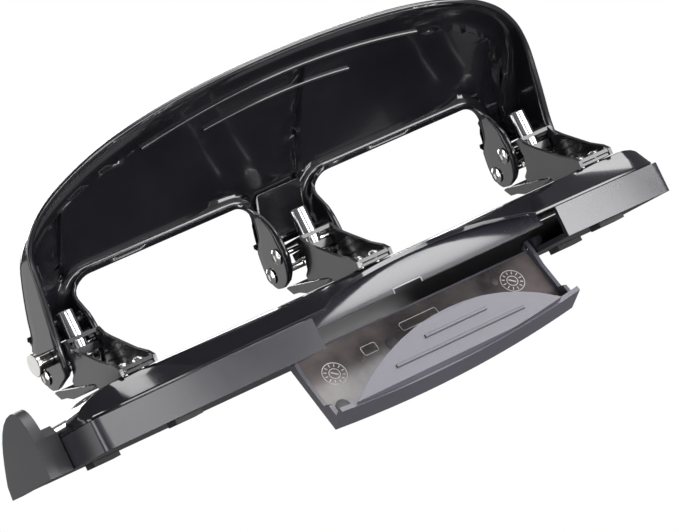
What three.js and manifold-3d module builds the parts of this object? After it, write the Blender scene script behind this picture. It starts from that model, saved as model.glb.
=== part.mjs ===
// Three-hole desk punch with a lever handle and a swing-down chip tray.
// Millimetres. +X runs along the punch, +Y towards the paper side, +Z up.
// The origin lies on the surface it stands on, straight below the middle punch.
import * as THREE from "three";
import { mergeVertices } from "three/addons/utils/BufferGeometryUtils.js";
import Module from "manifold-3d";

// Driving dimensions
const HOLE_PITCH = 108; // three-ring spacing, hole to hole
const PUNCH_RADIUS = 3.55;
const FOOT_HEIGHT = 2;
const GAP = 0.3; // between pieces that touch
const RUNNING_GAP = 0.35; // round pins and in slots
const SHEET = 1.4; // steel of the punch heads
// base
const BASE_LENGTH = 267.6;
const FRONT_MIDDLE = -56; // front face at the middle of its bow
const FRONT_BOW_RADIUS = 490;
const BASE_BACK = 24;
const CORNER_RADIUS = 4;
const BAND_HEIGHT = 12.3;
const HOUSING_WALL = 2.2;
const HOUSING_FLOOR = 2;
const HUMP_HEIGHT = 22; // ridge that carries the feet of the punch heads
const HUMP_BACK = -14.6;
const PLATFORM_HEIGHT = 18.3; // flat the paper lies on
const DECK_WALL = 1.6;
const CREST = -37; // where the front slope meets the top of the hump
// chip tray
const TRAY_LEFT = -43.6;
const TRAY_RIGHT = 74.2;
const TRAY_HINGE_Y = -21;
const TRAY_HINGE_Z = 3;
const TRAY_OPEN = 66; // degrees
const TRAY_WALL = 1.6;
const LIP_THICKNESS = 2;
const PANEL_HALF_WIDTH = 53;
const HINGE_PIN_RADIUS = 1.1;
const RECESS_RADIUS = 22.9; // just inside the sweep of the tray's panel
const RECESS_BOTTOM = 8.4;
// punch heads
const HEAD_HALF_WIDTH = 8.1;
const HEAD_NEAR = -38.5;
const RIVET_OFFSET = 3.6; // foot rivets, either side of the head's middle
const PLATE_TOP = 44.4;
const PUNCH_TOP = 55;
const PAPER_GAP = 5.7;
const PRESS_TRAVEL = 7.1;
const SPRING_WIRE = 0.8;
const PIVOT_Y = 16.7;
const PIVOT_Z = 36;
const PIVOT_RADIUS = 1.6;
const DRIVE_Y = 6;
const DRIVE_Z = 41.4;
const DRIVE_RADIUS = 1.1;
const RIVET_HEAD_RADIUS = 3.2;
// handle
const HANDLE_SHEET = 1.6;
const HANDLE_TOP = 109.8;
const HANDLE_HALF_LENGTH = 118.2;
const END_LEG_HALF_WIDTH = HEAD_HALF_WIDTH + GAP + HANDLE_SHEET;
const MIDDLE_LEG_HALF_WIDTH = 13.5;
const WINDOW_TOP = 64.5;
const WINDOW_CORNER = 9;
// paper stop
const STOP_FACE = 139.7; // half the length of a letter sheet
const STOP_THICKNESS = 4.6;

const HEADS = [
  ["left", -HOLE_PITCH],
  ["middle", 0],
  ["right", HOLE_PITCH],
];

// Solids: three.js makes the shapes, manifold joins and cuts them
const wasm = await Module();
wasm.setup();

function solid(geometry) {
  const bare = geometry.clone();
  bare.deleteAttribute("normal");
  bare.deleteAttribute("uv");
  const merged = mergeVertices(bare, 1e-4);
  return new wasm.Manifold(
    new wasm.Mesh({
      numProp: 3,
      vertProperties: new Float32Array(merged.attributes.position.array),
      triVerts: new Uint32Array(merged.index.array),
    }),
  );
}

function geometryOf(body) {
  const mesh = body.getMesh();
  const geometry = new THREE.BufferGeometry();
  geometry.setAttribute("position", new THREE.BufferAttribute(mesh.vertProperties, 3));
  geometry.setIndex(new THREE.BufferAttribute(mesh.triVerts, 1));
  return geometry;
}

function shapeOf(points) {
  return new THREE.Shape(points.map(([a, b]) => new THREE.Vector2(a, b)));
}

// Extrusions of an outline drawn in the plane across one axis
function alongX(shape, x0, x1, segments = 8) {
  const g = new THREE.ExtrudeGeometry(shape, {
    depth: x1 - x0,
    bevelEnabled: false,
    curveSegments: segments,
  });
  const turn = new THREE.Matrix4().set(0, 0, 1, x0, 1, 0, 0, 0, 0, 1, 0, 0, 0, 0, 0, 1);
  return solid(g.applyMatrix4(turn));
}

function alongY(shape, y0, y1, segments = 8) {
  const g = new THREE.ExtrudeGeometry(shape, {
    depth: y1 - y0,
    bevelEnabled: false,
    curveSegments: segments,
  });
  const turn = new THREE.Matrix4().set(1, 0, 0, 0, 0, 0, -1, y1, 0, 1, 0, 0, 0, 0, 0, 1);
  return solid(g.applyMatrix4(turn));
}

function alongZ(shape, z0, z1, segments = 8) {
  const g = new THREE.ExtrudeGeometry(shape, {
    depth: z1 - z0,
    bevelEnabled: false,
    curveSegments: segments,
  });
  return solid(g.translate(0, 0, z0));
}

function block(x0, x1, y0, y1, z0, z1) {
  const g = new THREE.BoxGeometry(x1 - x0, y1 - y0, z1 - z0);
  return solid(g.translate((x0 + x1) / 2, (y0 + y1) / 2, (z0 + z1) / 2));
}

// A turned piece along X or Z from [radius, distance] steps
function turnedX(steps, x, y, z, sides = 20) {
  const g = new THREE.LatheGeometry(steps.map(([r, a]) => new THREE.Vector2(r, a)), sides);
  g.rotateZ(-Math.PI / 2);
  return solid(g.translate(x, y, z));
}

function turnedZ(steps, x, y, sides = 20) {
  const g = new THREE.LatheGeometry(steps.map(([r, a]) => new THREE.Vector2(r, a)), sides);
  g.rotateX(Math.PI / 2);
  return solid(g.translate(x, y, 0));
}

function rodX(radius, x0, x1, y, z, sides = 20) {
  return turnedX([[0, x0], [radius, x0], [radius, x1], [0, x1]], 0, y, z, sides);
}

function rodZ(radius, z0, z1, x, y, sides = 20) {
  return turnedZ([[0, z0], [radius, z0], [radius, z1], [0, z1]], x, y, sides);
}

// A skin between rows of points, closed at both ends by fans
function lofted(rings) {
  const count = rings[0].length;
  const points = rings.flat();
  const index = [];
  for (let i = 0; i + 1 < rings.length; i++) {
    for (let j = 0; j < count; j++) {
      const a = i * count + j;
      const b = i * count + ((j + 1) % count);
      index.push(a, a + count, b, b, a + count, b + count);
    }
  }
  for (let j = 1; j + 1 < count; j++) {
    const last = (rings.length - 1) * count;
    index.push(0, j, j + 1, last, last + j + 1, last + j);
  }
  const geometry = new THREE.BufferGeometry();
  geometry.setAttribute("position", new THREE.Float32BufferAttribute(points.flat(), 3));
  geometry.setIndex(index);
  return solid(geometry);
}

const model = new THREE.Group();
model.name = "hole_punch";
const punch = new THREE.Group();
punch.position.z = FOOT_HEIGHT;
model.add(punch);

const FINISHES = {
  black_gloss: { color: 0x0a0a0c, roughness: 0.12, metalness: 0 },
  black_satin: { color: 0x2a292e, roughness: 0.45, metalness: 0 },
  grey_satin: { color: 0x706f7b, roughness: 0.4, metalness: 0 },
  black_steel: { color: 0x101013, roughness: 0.22, metalness: 0.3 },
  bright_steel: { color: 0xd8d6d0, roughness: 0.2, metalness: 1 },
  rubber: { color: 0x161616, roughness: 0.9, metalness: 0 },
};

function addPiece(name, body, finish, parent = punch) {
  const mesh = new THREE.Mesh(geometryOf(body), new THREE.MeshStandardMaterial(FINISHES[finish]));
  mesh.name = name;
  parent.add(mesh);
  return mesh;
}

// ---- base ----

const halfBase = BASE_LENGTH / 2;

function frontFace(x) {
  return FRONT_MIDDLE + (x * x) / (2 * FRONT_BOW_RADIUS);
}

// Plan outline of the base, drawn in by a margin
function plan(margin) {
  const half = halfBase - margin;
  const corner = Math.max(CORNER_RADIUS - margin, 1);
  const front = [];
  const steps = 20;
  for (let i = 0; i <= steps; i++) {
    const x = -half + corner + ((2 * half - 2 * corner) * i) / steps;
    front.push([x, frontFace(x) + margin]);
  }
  const edge = frontFace(half - corner) + margin;
  const turn = [];
  for (let i = 1; i <= 5; i++) {
    const angle = -Math.PI / 2 + (i * Math.PI) / 10;
    turn.push([half - corner + corner * Math.cos(angle), edge + corner + corner * Math.sin(angle)]);
  }
  const back = BASE_BACK - margin;
  const left = turn.map(([x, y]) => [-x, y]).reverse();
  return [...front, ...turn, [half, back], [-half, back], ...left];
}

const trayBay = block(
  TRAY_LEFT, TRAY_RIGHT, FRONT_MIDDLE - 5, TRAY_HINGE_Y + 3.6, -1, BAND_HEIGHT + 1,
);

function baseHousing() {
  let body = alongZ(shapeOf(plan(0)), 0, BAND_HEIGHT);
  body = body.subtract(alongZ(shapeOf(plan(HOUSING_WALL)), HOUSING_FLOOR, BAND_HEIGHT + 1));
  body = body.subtract(trayBay);
  for (const [x0, x1] of [
    [TRAY_LEFT - 4, TRAY_LEFT],
    [TRAY_RIGHT, TRAY_RIGHT + 4],
  ]) {
    body = body.add(block(x0, x1, TRAY_HINGE_Y - 4, TRAY_HINGE_Y + 5.8, 0.5, TRAY_HINGE_Z + 3));
  }
  const bore = HINGE_PIN_RADIUS + RUNNING_GAP;
  return body.subtract(
    rodX(bore, TRAY_LEFT - 3, TRAY_RIGHT + 3, TRAY_HINGE_Y, TRAY_HINGE_Z, 16),
  );
}

// The deck is a loft of cross-sections along X, lower and narrower at both ends
function deckSolid(margin, bottom) {
  const rings = [];
  const endRound = 14;
  const steps = 10;
  const stations = [];
  for (let i = 0; i <= 6; i++) {
    stations.push(-halfBase + margin + endRound * (1 - Math.cos((i * Math.PI) / 12)));
  }
  for (let i = 1; i < steps * 2; i++) {
    stations.push((halfBase - margin - endRound) * (i / steps - 1));
  }
  for (let i = 6; i >= 0; i--) {
    stations.push(halfBase - margin - endRound * (1 - Math.cos((i * Math.PI) / 12)));
  }
  for (const x of stations) {
    const inset = Math.max(Math.abs(x) - (halfBase - margin - endRound), 0);
    const fall = 1 - Math.sqrt(Math.max(1 - (inset / endRound) ** 2, 0));
    const base = BAND_HEIGHT + GAP;
    const rise = (HUMP_HEIGHT - margin - base) * (1 - 0.72 * fall);
    const flat = (PLATFORM_HEIGHT - margin - base) * (1 - 0.72 * fall);
    const near = frontFace(x) + margin + 6 * fall;
    const crest = Math.max(CREST, near + 5 - margin) + margin * 0.4;
    const humpEnd = HUMP_BACK - margin;
    const back = BASE_BACK - margin - 4 * fall;
    const round = Math.min(4, (crest - near) / 3);
    rings.push([
      [x, near, bottom],
      [x, near, base + 0.8],
      [x, near + 0.8, base + 1.4],
      [x, crest - round, base + 1.4 + (rise - 1.4) * ((crest - round - near) / (crest - near))],
      [x, crest - round * 0.3, base + rise - round * 0.14],
      [x, crest + round * 0.5, base + rise],
      [x, humpEnd - 1.6, base + rise],
      [x, humpEnd - 0.5, base + rise - (rise - flat) * 0.25],
      [x, humpEnd + 1.2, base + flat],
      [x, back - 3, base + flat],
      [x, back - 0.9, base + flat * 0.9],
      [x, back, base + flat * 0.55],
      [x, back, bottom],
    ]);
  }
  return lofted(rings);
}

// Half-moon that the tray's front panel fills, in plan
const moonMiddle = (TRAY_LEFT + TRAY_RIGHT) / 2;
const moonApex = CREST - 0.6;
const moonDepth = moonApex - frontFace(moonMiddle) - 1.5;
const moonRadius = (PANEL_HALF_WIDTH ** 2 + moonDepth ** 2) / (2 * moonDepth);

function moon(margin) {
  const radius = moonRadius - margin;
  return rodZ(radius, BAND_HEIGHT - 9, HUMP_HEIGHT + 9, moonMiddle, moonApex - moonRadius, 72);
}

const tipWidth = 2 * PANEL_HALF_WIDTH + 12;
const moonStrip = block(
  moonMiddle - tipWidth / 2, moonMiddle + tipWidth / 2, FRONT_MIDDLE - 20, CREST + 5,
  BAND_HEIGHT - 9, HUMP_HEIGHT + 9,
);

function deckShell() {
  let body = deckSolid(0, BAND_HEIGHT + GAP).subtract(deckSolid(DECK_WALL, BAND_HEIGHT - 3));
  body = body.subtract(moon(0).intersect(moonStrip));
  for (const [, x] of HEADS) {
    body = body.subtract(rodZ(dieRadius + GAP, PLATFORM_HEIGHT - 5, HUMP_HEIGHT + 1, x, 0, 28));
    for (const side of [-1, 1]) {
      const middle = x + side * RIVET_OFFSET;
      body = body.subtract(rodZ(rivetHole, HUMP_HEIGHT - 6, HUMP_HEIGHT + 1, middle, rivetY, 12));
    }
  }
  return body;
}

// Satin wall behind the half-moon, rounded about the tray's hinge so that the tray's panel swings past it
function recessPanel() {
  const low = Math.asin((RECESS_BOTTOM - TRAY_HINGE_Z) / RECESS_RADIUS);
  const high = Math.asin((HUMP_HEIGHT - DECK_WALL - 0.6 - TRAY_HINGE_Z) / RECESS_RADIUS);
  const outer = [];
  const inner = [];
  for (let i = 0; i <= 10; i++) {
    const angle = low + ((high - low) * i) / 10;
    const [c, s] = [Math.cos(angle), Math.sin(angle)];
    outer.push([TRAY_HINGE_Y - RECESS_RADIUS * c, TRAY_HINGE_Z + RECESS_RADIUS * s]);
    const back = RECESS_RADIUS - 1.5;
    inner.unshift([TRAY_HINGE_Y - back * c, TRAY_HINGE_Z + back * s]);
  }
  const half = PANEL_HALF_WIDTH + 2;
  const body = alongX(shapeOf([...outer, ...inner]), moonMiddle - half, moonMiddle + half);
  const notch = block(-1.5, 11.5, -60, -38, RECESS_BOTTOM - 3, RECESS_BOTTOM + 1.8);
  return body.subtract(notch);
}

const dieRadius = PUNCH_RADIUS + 2.2;
const rivetY = HEAD_NEAR + 6.5;
const rivetHole = 1.9;
const dieBarTop = PLATFORM_HEIGHT - DECK_WALL - GAP;

function dieBar() {
  const half = HOLE_PITCH + 10;
  let body = block(-half, half, HUMP_BACK + 3, 12, dieBarTop - 2, dieBarTop);
  for (const [, x] of HEADS) {
    body = body.subtract(rodZ(PUNCH_RADIUS + RUNNING_GAP, 10, PLATFORM_HEIGHT, x, 0, 20));
  }
  return body;
}

function paperStop() {
  const outline = new THREE.Shape();
  outline.moveTo(-6, 0);
  outline.lineTo(-6.8, 13);
  outline.bezierCurveTo(-6.6, 22, -3.5, 28.4, 2.4, 28.4);
  outline.bezierCurveTo(16, 28.4, 26, 15, 32.9, 5.5);
  outline.lineTo(34.2, 0);
  outline.closePath();
  const plate = alongX(outline, -STOP_FACE - STOP_THICKNESS, -STOP_FACE);
  const arm = shapeOf([
    [-6, 0],
    [BASE_BACK - 2, 0],
    [BASE_BACK - 2, PLATFORM_HEIGHT],
    [-3, PLATFORM_HEIGHT],
    [-6, 15],
  ]);
  return plate.add(alongX(arm, -STOP_FACE - 1, -halfBase - GAP));
}

addPiece("base_housing", baseHousing(), "grey_satin");
addPiece("deck_shell", deckShell(), "black_gloss");
addPiece("recess_panel", recessPanel(), "grey_satin");
addPiece("die_bar", dieBar(), "bright_steel");
addPiece("paper_stop", paperStop(), "black_satin");

const footPlaces = {
  front_left: [33.8 - halfBase, -38],
  front_right: [halfBase - 33.8, -38],
  back_left: [21.8 - halfBase, BASE_BACK - 8],
  back_right: [halfBase - 21.8, BASE_BACK - 8],
  middle: [0, 0],
};
for (const [place, [x, y]] of Object.entries(footPlaces)) {
  const pad = block(x - 6, x + 6, y - 4, y + 4, -FOOT_HEIGHT, -0.05);
  addPiece(`foot_${place}`, pad, "rubber");
}

// ---- punch heads ----

const sideWall = [
  [HEAD_NEAR, HUMP_HEIGHT + GAP],
  [HEAD_NEAR - 0.3, 24.9],
  [-35.5, 27.1],
  [-27.4, 30.4],
  [-19.3, 34.9],
  [-12, 39],
  [-8.4, 41.4],
  [-6, PLATE_TOP],
  [14, PLATE_TOP],
  [19, 40.8],
  [21, 36],
  [19.6, 32.9],
  [PIVOT_Y, 31.8],
  [13.2, 33.4],
  [11.6, 38.5],
  [10, PLATE_TOP - SHEET],
  [-3.4, PLATE_TOP - SHEET],
  [-4.4, 37.4],
  [-1.5, 31.8],
  [1.6, 30],
  [1.6, 27.9],
  [-15.6, 24.9],
  [-16.6, HUMP_HEIGHT + GAP],
];

function headFrame(x) {
  const inner = HEAD_HALF_WIDTH - SHEET;
  const wall = shapeOf(sideWall);
  const left = alongX(wall, x - HEAD_HALF_WIDTH, x - inner);
  const right = alongX(wall, x + inner, x + HEAD_HALF_WIDTH);
  const plate = block(x - inner, x + inner, -6, 11, PLATE_TOP - SHEET, PLATE_TOP);
  const foot = block(x - inner, x + inner, HEAD_NEAR, -24, guideTop + GAP, guideTop + GAP + SHEET);
  let body = left.add(right).add(plate).add(foot);
  body = body.subtract(rodZ(PUNCH_RADIUS + RUNNING_GAP, 40, 50, x, 0, 24));
  body = body.subtract(
    rodX(PIVOT_RADIUS + RUNNING_GAP, x - 12, x + 12, PIVOT_Y, PIVOT_Z, 20),
  );
  for (const side of [-1, 1]) {
    body = body.subtract(rodZ(rivetHole, 20, 30, x + side * RIVET_OFFSET, rivetY, 12));
  }
  return body;
}

// Sheet that guides the punch's foot and leads the paper in
const guideSheet = 1.2;
const guideTop = HUMP_HEIGHT + GAP + guideSheet;

function throatGuide(x) {
  const bottom = PLATFORM_HEIGHT + PAPER_GAP;
  const narrow = HEAD_HALF_WIDTH - SHEET - GAP;
  const foot = shapeOf([
    [HEAD_NEAR + 0.5, HUMP_HEIGHT + GAP],
    [-15, HUMP_HEIGHT + GAP],
    [-12, bottom],
    [-12, bottom + guideSheet],
    [-15.6, guideTop],
    [HEAD_NEAR + 0.5, guideTop],
  ]);
  const tongue = shapeOf([
    [-12.5, bottom],
    [7.2, bottom],
    [12.3, bottom + 1.6],
    [17.4, bottom + 2.2],
    [20.4, bottom + 5.4],
    [19.4, bottom + 5.8],
    [16.2, bottom + 3.4],
    [7, bottom + guideSheet],
    [-12.5, bottom + guideSheet],
  ]);
  const cheek = shapeOf([
    [-14.4, bottom],
    [7.2, bottom],
    [12.3, bottom + 1.6],
    [17.4, bottom + 2.2],
    [20.4, bottom + 5.4],
    [18, bottom + 5.8],
    [-14.4, bottom + 0.7],
  ]);
  const inner = HEAD_HALF_WIDTH - SHEET;
  let body = alongX(foot, x - narrow, x + narrow);
  body = body.add(alongX(tongue, x - HEAD_HALF_WIDTH, x + HEAD_HALF_WIDTH));
  body = body.add(alongX(cheek, x - HEAD_HALF_WIDTH, x - inner));
  body = body.add(alongX(cheek, x + inner, x + HEAD_HALF_WIDTH));
  body = body.subtract(rodZ(PUNCH_RADIUS + RUNNING_GAP, 20, 30, x, 0, 24));
  for (const side of [-1, 1]) {
    body = body.subtract(rodZ(rivetHole, 20, 30, x + side * RIVET_OFFSET, rivetY, 12));
  }
  return body;
}

function footRivet(x) {
  const seat = guideTop + GAP + SHEET + GAP;
  const tail = HUMP_HEIGHT - DECK_WALL - GAP;
  return turnedZ(
    [[0, tail - 0.8], [2.4, tail - 0.8], [2.4, tail], [1.4, tail], [1.4, seat],
      [2.8, seat], [2.6, seat + 0.7], [1.7, seat + 1.2], [0, seat + 1.3]],
    x, rivetY, 12,
  );
}

function headedPin(x, reach, y, z, radius) {
  const head = 1.1;
  return turnedX(
    [[0, -reach - head], [1.8, -reach - head], [RIVET_HEAD_RADIUS, -reach - 0.3],
      [RIVET_HEAD_RADIUS, -reach], [radius, -reach], [radius, reach],
      [RIVET_HEAD_RADIUS, reach], [RIVET_HEAD_RADIUS, reach + 0.3],
      [1.8, reach + head], [0, reach + head]],
    x, y, z, 16,
  );
}

function dieRing(x) {
  const bore = PUNCH_RADIUS + 0.1;
  const low = dieBarTop + GAP;
  return turnedZ(
    [[bore, low], [dieRadius, low], [dieRadius, PLATFORM_HEIGHT], [bore, PLATFORM_HEIGHT],
      [bore, low]],
    x, 0, 28,
  );
}

const saddleTop = DRIVE_Z - DRIVE_RADIUS - 0.25;
const saddleBottom = saddleTop - 3;
const punchBottom = PLATFORM_HEIGHT - 0.8 + PRESS_TRAVEL;

function punchPin(x) {
  return turnedZ(
    [[0, punchBottom + 0.8], [PUNCH_RADIUS, punchBottom], [PUNCH_RADIUS, PUNCH_TOP - 0.5],
      [PUNCH_RADIUS - 0.5, PUNCH_TOP], [0, PUNCH_TOP]],
    x, 0, 28,
  );
}

function saddle(x) {
  const outline = shapeOf([
    [-6, -4.4],
    [6, -4.4],
    [6, 8.6],
    [-6, 8.6],
  ]);
  const body = alongZ(outline, saddleBottom, saddleTop);
  return body.subtract(rodZ(PUNCH_RADIUS + GAP, saddleBottom - 1, saddleTop + 1, 0, 0, 24))
    .translate(x, 0, 0);
}

const springLow = PLATFORM_HEIGHT + PAPER_GAP + guideSheet + GAP;
const springHigh = saddleBottom - GAP;

class Helix extends THREE.Curve {
  constructor(radius, low, high, turns) {
    super();
    Object.assign(this, { radius, low, high, turns });
  }
  getPoint(t, target = new THREE.Vector3()) {
    const angle = t * this.turns * 2 * Math.PI;
    const z = this.low + (this.high - this.low) * t;
    return target.set(this.radius * Math.cos(angle), this.radius * Math.sin(angle), z);
  }
}

function returnSpring(x) {
  const wire = SPRING_WIRE / 2;
  const section = new THREE.Shape();
  section.absarc(0, 0, wire, 0, 2 * Math.PI);
  const path = new Helix(PUNCH_RADIUS + GAP + SPRING_WIRE, springLow + wire, springHigh - wire, 4);
  const coil = new THREE.ExtrudeGeometry(section, {
    steps: 40,
    curveSegments: 3,
    extrudePath: path,
  });
  return solid(coil.translate(x, 0, 0));
}

for (const [place, x] of HEADS) {
  addPiece(`head_frame_${place}`, headFrame(x), "black_steel");
  addPiece(`throat_guide_${place}`, throatGuide(x), "black_steel");
  addPiece(`die_ring_${place}`, dieRing(x), "bright_steel");
  addPiece(`foot_rivet_${place}_a`, footRivet(x - RIVET_OFFSET), "bright_steel");
  addPiece(`foot_rivet_${place}_b`, footRivet(x + RIVET_OFFSET), "bright_steel");
  addPiece(`punch_pin_${place}`, punchPin(x), "bright_steel");
  addPiece(`punch_saddle_${place}`, saddle(x), "black_steel");
  addPiece(`return_spring_${place}`, returnSpring(x), "bright_steel");
}

// ---- handle ----

function earHalfWidth(x) {
  return x === 0 ? MIDDLE_LEG_HALF_WIDTH : END_LEG_HALF_WIDTH;
}

// Front view of the handle, drawn in by the sheet's thickness for its hollow
function handleOutline(margin) {
  const half = HANDLE_HALF_LENGTH - margin;
  const top = HANDLE_TOP - margin;
  const legEnd = HOLE_PITCH + END_LEG_HALF_WIDTH - margin;
  const outline = new THREE.Shape();
  outline.moveTo(-legEnd, 20);
  outline.lineTo(-legEnd, 47);
  outline.lineTo(-half, 74);
  outline.bezierCurveTo(-half, 98, -75, top, 0, top);
  outline.bezierCurveTo(75, top, half, 98, half, 74);
  outline.lineTo(legEnd, 47);
  outline.lineTo(legEnd, 20);
  outline.closePath();
  return outline;
}

function windowOutline(x0, x1, margin) {
  const top = WINDOW_TOP + margin;
  const corner = WINDOW_CORNER + margin;
  const outline = new THREE.Shape();
  outline.moveTo(x0 - margin, 10);
  outline.lineTo(x1 + margin, 10);
  outline.lineTo(x1 + margin, top - corner);
  outline.absarc(x1 + margin - corner, top - corner, corner, 0, Math.PI / 2, false);
  outline.absarc(x0 - margin + corner, top - corner, corner, Math.PI / 2, Math.PI, false);
  outline.closePath();
  return outline;
}

const windowSpans = [
  [-HOLE_PITCH + END_LEG_HALF_WIDTH, -MIDDLE_LEG_HALF_WIDTH],
  [MIDDLE_LEG_HALF_WIDTH, HOLE_PITCH - END_LEG_HALF_WIDTH],
];

function handleFront(margin) {
  let body = alongY(handleOutline(margin), -70, 50, 14);
  for (const [x0, x1] of windowSpans) {
    body = body.subtract(alongY(windowOutline(x0, x1, margin), -80, 60, 6));
  }
  return body;
}

// Side view: the rim nearest the user and the far face, both leaning forward
const rim = [
  [6, 31.2],
  [-2, 33],
  [-5.8, 47.7],
  [-12.7, 69.4],
  [-15.2, 78.4],
  [-20.6, 86.8],
  [-29, 95.4],
  [-36, 102],
  [-44, HANDLE_TOP + 1],
];
const farFace = [
  [-38.5, HANDLE_TOP + 1],
  [-32, 104.6],
  [-24, 98.2],
  [-13.5, 90],
  [-3, 80.6],
  [6, 71],
  [13, 62],
  [18, 53.5],
  [19.8, 46],
  [21.2, 37.2],
  [19.6, 33],
  [16.7, 30.4],
  [12.7, 29.8],
];

function handleShell() {
  const side = shapeOf([...rim, ...farFace]);
  const far = farFace.map(([y, z]) => [y - HANDLE_SHEET * 0.8, z - HANDLE_SHEET * 0.75]);
  const hollowSide = shapeOf([[-90, 10], [-90, HANDLE_TOP + 20], ...far.slice(0, 9), [19, 36], [30, 10]]);
  let body = handleFront(0).intersect(alongX(side, -130, 130));
  const hollow = handleFront(HANDLE_SHEET).intersect(alongX(hollowSide, -130, 130));
  body = body.subtract(hollow);
  // window-side ears are shallower than the outer rim
  const trim = shapeOf([
    [6, 20],
    [6, 31.4],
    [0.7, 36.1],
    [-1.3, 41.7],
    [-0.3, 49.4],
    [3.3, 55.4],
    [6.4, 60.8],
    [4.6, WINDOW_TOP],
    [1, 70],
    [-4, 76],
    [-80, 76],
    [-80, 20],
  ]);
  const trimHalf = HOLE_PITCH + END_LEG_HALF_WIDTH - HANDLE_SHEET - 0.2;
  body = body.subtract(alongX(trim, -trimHalf, trimHalf));
  // the far face stops above the heads, so that only the ears reach down
  for (const [, x] of HEADS) {
    const half = earHalfWidth(x) - HANDLE_SHEET;
    body = body.subtract(block(x - half, x + half, 4, 40, 10, 46.5));
    body = body.subtract(rodX(PIVOT_RADIUS + RUNNING_GAP, x - 20, x + 20, PIVOT_Y, PIVOT_Z));
    body = body.subtract(rodX(DRIVE_RADIUS + RUNNING_GAP, x - 20, x + 20, DRIVE_Y, DRIVE_Z));
  }
  return body;
}

function middleBracket() {
  const outline = new THREE.Shape();
  outline.moveTo(-10, 48.8);
  outline.lineTo(10, 48.8);
  outline.lineTo(10, 64.6);
  outline.quadraticCurveTo(10, 66, 8.6, 66);
  outline.lineTo(-8.6, 66);
  outline.quadraticCurveTo(-10, 66, -10, 64.6);
  outline.closePath();
  const face = farFace.slice(4, 9).map(([y, z]) => [y - 1.9, z - 1.5]);
  const front = face.map(([y, z]) => [y - 1.2, z - 0.8]).reverse();
  return alongY(outline, -40, 40, 4).intersect(alongX(shapeOf([...face, ...front]), -20, 20));
}

addPiece("handle_shell", handleShell(), "black_gloss");
addPiece("middle_bracket", middleBracket(), "black_steel");

for (const [place, x] of HEADS) {
  const reach = earHalfWidth(x) + GAP;
  const pivot = headedPin(x, reach, PIVOT_Y, PIVOT_Z, PIVOT_RADIUS);
  addPiece(`pivot_pin_${place}`, pivot, "bright_steel");
  if (place !== "left") {
    addPiece(`drive_pin_${place}`, headedPin(x, reach, DRIVE_Y, DRIVE_Z, DRIVE_RADIUS), "bright_steel");
  }
}

// At the left head the drive pin ends in a large flat-headed stud
function driveStud() {
  const reach = END_LEG_HALF_WIDTH + GAP;
  const knobFace = -reach - 7.3;
  return turnedX(
    [[0, knobFace], [4.4, knobFace], [4.7, knobFace + 0.3], [4.7, knobFace + 1.5],
      [3, knobFace + 1.7], [3, -reach], [DRIVE_RADIUS, -reach], [DRIVE_RADIUS, reach],
      [RIVET_HEAD_RADIUS, reach], [RIVET_HEAD_RADIUS, reach + 0.3], [1.8, reach + 1.1],
      [0, reach + 1.1]],
    -HOLE_PITCH, DRIVE_Y, DRIVE_Z, 28,
  );
}

addPiece("drive_pin_left", driveStud(), "bright_steel");

for (const side of [-1, 1]) {
  const inner = HEAD_HALF_WIDTH + GAP;
  const outer = MIDDLE_LEG_HALF_WIDTH - HANDLE_SHEET - GAP;
  const bore = PIVOT_RADIUS + RUNNING_GAP;
  const ring = [[bore, inner], [3.4, inner], [3.4, outer], [bore, outer], [bore, inner]];
  const body = turnedX(ring, 0, PIVOT_Y, PIVOT_Z);
  const placed = side > 0 ? body : turnedX(ring.map(([r, a]) => [r, -a]).reverse(), 0, PIVOT_Y, PIVOT_Z);
  addPiece(`pivot_spacer_${side > 0 ? "right" : "left"}`, placed, "bright_steel");
}

// ---- chip tray, drawn shut and hung open about its hinge ----

const trayLeft = TRAY_LEFT + 0.5;
const trayRight = TRAY_RIGHT - 0.5;

function frontStrip(inset, depth, z0, z1) {
  const near = [];
  const far = [];
  const steps = 14;
  for (let i = 0; i <= steps; i++) {
    const x = trayLeft + ((trayRight - trayLeft) * i) / steps;
    near.push([x, frontFace(x) + inset]);
    far.unshift([x, frontFace(x) + inset + depth]);
  }
  return alongZ(shapeOf([...near, ...far]), z0, z1);
}

function chipTray() {
  const floorBack = TRAY_HINGE_Y + 0.4;
  let body = frontStrip(0.6, -FRONT_MIDDLE, 0.2, 0.2 + TRAY_WALL)
    .intersect(block(trayLeft, trayRight, FRONT_MIDDLE - 4, floorBack, 0, 4));
  body = body.add(frontStrip(0, LIP_THICKNESS, 0.2, BAND_HEIGHT - 0.1));
  for (const x of [trayLeft, trayRight - 1.6]) {
    const nearEnd = frontFace(x) + 1;
    const rail = shapeOf([
      [nearEnd, 0.4],
      [TRAY_HINGE_Y + 2.2, 0.4],
      [TRAY_HINGE_Y + 2.2, TRAY_HINGE_Z + 2.2],
      [TRAY_HINGE_Y - 3, TRAY_HINGE_Z + 2.2],
      [TRAY_HINGE_Y - 9, 4],
      [nearEnd + 8, 4],
      [nearEnd + 6, 7],
      [nearEnd, 7],
    ]);
    body = body.add(alongX(rail, x, x + 1.6));
  }
  const bore = HINGE_PIN_RADIUS + GAP;
  return body.subtract(rodX(bore, trayLeft - 5, trayRight + 5, TRAY_HINGE_Y, TRAY_HINGE_Z, 16));
}

// Half-moon front panel that continues the deck's slope when the tray is shut
function trayPanel() {
  const near = frontFace(moonMiddle) + LIP_THICKNESS * 0.3;
  const low = BAND_HEIGHT + 0.3;
  const far = moonApex - 0.5;
  const high = HUMP_HEIGHT - 0.4;
  const side = shapeOf([
    [near, low],
    [near + 6, low],
    [far + 2, high - 1.6],
    [far + 2, high],
    [far - 1, high],
    [near + 1.2, low + 1.6],
  ]);
  const width = PANEL_HALF_WIDTH + 4;
  let body = alongX(side, moonMiddle - width, moonMiddle + width);
  body = body.intersect(moon(0.5));
  const inFront = frontStrip(0.6, 40, BAND_HEIGHT - 4, HUMP_HEIGHT + 4);
  return body.intersect(inFront);
}

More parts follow.
